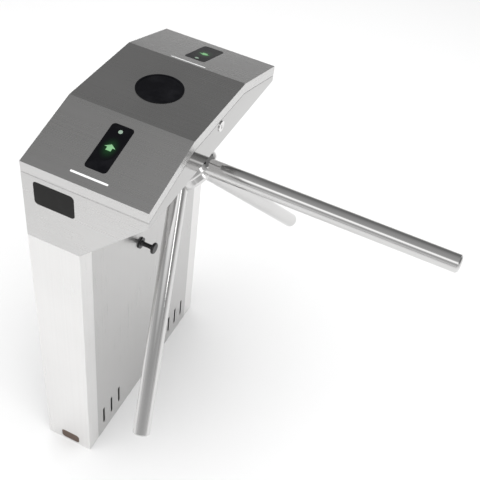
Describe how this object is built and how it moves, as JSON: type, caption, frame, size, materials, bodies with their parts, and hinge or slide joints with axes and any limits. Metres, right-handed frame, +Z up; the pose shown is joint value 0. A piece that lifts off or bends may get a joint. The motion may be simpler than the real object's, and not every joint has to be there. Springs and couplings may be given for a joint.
{
  "type": "visitor counter turnstile",
  "caption": "Slim stainless turnstile with a wide head: a tripod rotor on a tilted shaft, a hinged lid with indicator windows and a card reader, and a counter window.",
  "frame": {"origin": "centre of the pedestal's footprint on the floor, at the middle of the anchor hole pattern", "axes": "+Z up; +X towards the arms, across the passage; +Y along the passage, towards the rear face; -Y is the front face with the counter window"},
  "size_m": [0.8208, 0.796, 0.9812],
  "materials": {
    "brushed_sheet": "satin",
    "lid_sheet": "satin",
    "polished_steel": "polished",
    "polished_aluminium": "polished",
    "grey_steel": "matte",
    "cast_aluminium": "satin",
    "bright_steel": "satin",
    "chromed_steel": "polished",
    "gear_steel": "satin",
    "dark_screws": "satin",
    "black_metal": "satin",
    "black_plastic": "satin",
    "black_acrylic": "gloss",
    "smoked_acrylic": "gloss",
    "bronze_plastic": "matte",
    "light_diffuser": "matte",
    "circuit_board": "satin"
  },
  "bodies": {
    "cabinet": {"base_plate": "grey_steel", "frame_posts": "grey_steel", "frame_rails": "grey_steel", "front_cover": "brushed_sheet", "rear_cover": "brushed_sheet", "right_side_panel": "brushed_sheet", "left_side_panel": "brushed_sheet", "foot_slot_liners": "bronze_plastic", "head_shell": "brushed_sheet", "head_front_plate": "brushed_sheet", "head_rear_plate": "brushed_sheet", "counter_window": "smoked_acrylic", "counter_board": "circuit_board", "hinge_fixed_leaf": "brushed_sheet", "hinge_pin": "bright_steel", "lock_barrel": "chromed_steel", "knob_bush": "black_plastic", "mechanism_plate": "grey_steel", "plate_brackets": "grey_steel", "bearing_housing": "cast_aluminium", "bearings": "bright_steel", "housing_screws": "dark_screws", "damper": "black_metal", "pawl_pins": "bright_steel", "pawl_springs": "bright_steel", "solenoids": "black_metal", "position_sensor": "black_plastic", "control_board": "circuit_board", "power_supply": "cast_aluminium", "transformer": "grey_steel", "battery": "black_plastic"},
    "rotor": {"main_shaft": "bright_steel", "hub_plate": "polished_steel", "hub_plate_bolts": "dark_screws", "hub": "polished_aluminium", "arm_1": "polished_steel", "arm_2": "polished_steel", "arm_3": "polished_steel", "arm_end_caps": "polished_steel", "arm_screws": "dark_screws", "rotor_gear": "gear_steel", "index_disc": "bright_steel", "shaft_nut": "bright_steel"},
    "damper_gear": {"damper_pinion": "gear_steel"},
    "lid": {"lid": "lid_sheet", "reader_window": "black_acrylic", "reader_module": "circuit_board", "indicator_windows": "black_acrylic", "indicator_boards": "circuit_board", "light_bars": "light_diffuser", "hinge_lid_leaf": "brushed_sheet", "lid_catch": "bright_steel"},
    "lid_lock": {"lock_plug": "chromed_steel", "lock_cam": "bright_steel"},
    "panel_latch": {"latch_knob": "black_plastic", "latch_tongue": "bright_steel"},
    "front_pawl": {"pawl_front": "gear_steel"},
    "rear_pawl": {"pawl_rear": "gear_steel"},
    "front_plunger": {"plunger_front": "bright_steel"},
    "rear_plunger": {"plunger_rear": "bright_steel"}
  },
  "joints": [
    {"name": "rotor_spin", "type": "hinge", "parent": "cabinet", "child": "rotor", "pos_m": [0.14, 0, 0.831], "axis": [0.7071, 0, -0.7071], "continuous": true},
    {"name": "damper_spin", "type": "hinge", "parent": "cabinet", "child": "damper_gear", "pos_m": [0.13293, 0, 0.92292], "axis": [0.7071, 0, -0.7071], "continuous": true},
    {"name": "lid_hinge", "type": "hinge", "parent": "cabinet", "child": "lid", "pos_m": [-0.066, 0, 0.9555], "axis": [0, -1, 0], "range_deg": [0, 75]},
    {"name": "lock_turn", "type": "hinge", "parent": "cabinet", "child": "lid_lock", "pos_m": [0.205, 0.006, 0.94], "axis": [1, 0, 0], "range_deg": [0, 90]},
    {"name": "latch_turn", "type": "hinge", "parent": "cabinet", "child": "panel_latch", "pos_m": [0.062, -0.038, 0.564], "axis": [1, 0, 0], "range_deg": [0, 90]},
    {"name": "front_pawl_swing", "type": "hinge", "parent": "cabinet", "child": "front_pawl", "pos_m": [0.04666, -0.068, 0.8607], "axis": [-0.7071, 0, 0.7071], "range_deg": [0, 10], "stiffness_Nm_per_rad": 0.6, "springref_deg": -17.19},
    {"name": "rear_pawl_swing", "type": "hinge", "parent": "cabinet", "child": "rear_pawl", "pos_m": [0.04666, 0.068, 0.8607], "axis": [0.7071, 0, -0.7071], "range_deg": [0, 10], "stiffness_Nm_per_rad": 0.6, "springref_deg": -17.19},
    {"name": "front_plunger_pull", "type": "slide", "parent": "cabinet", "child": "front_plunger", "axis": [0, -1, 0], "range_m": [0, 0.004]},
    {"name": "rear_plunger_pull", "type": "slide", "parent": "cabinet", "child": "rear_plunger", "axis": [0, 1, 0], "range_m": [0, 0.004]}
  ],
  "couplings": [
    {"joint": "damper_spin", "follows": "rotor_spin", "ratio": -3},
    {"joint": "front_plunger_pull", "follows": "front_pawl_swing", "m_per_rad": 0.022},
    {"joint": "rear_plunger_pull", "follows": "rear_pawl_swing", "m_per_rad": 0.022}
  ]
}
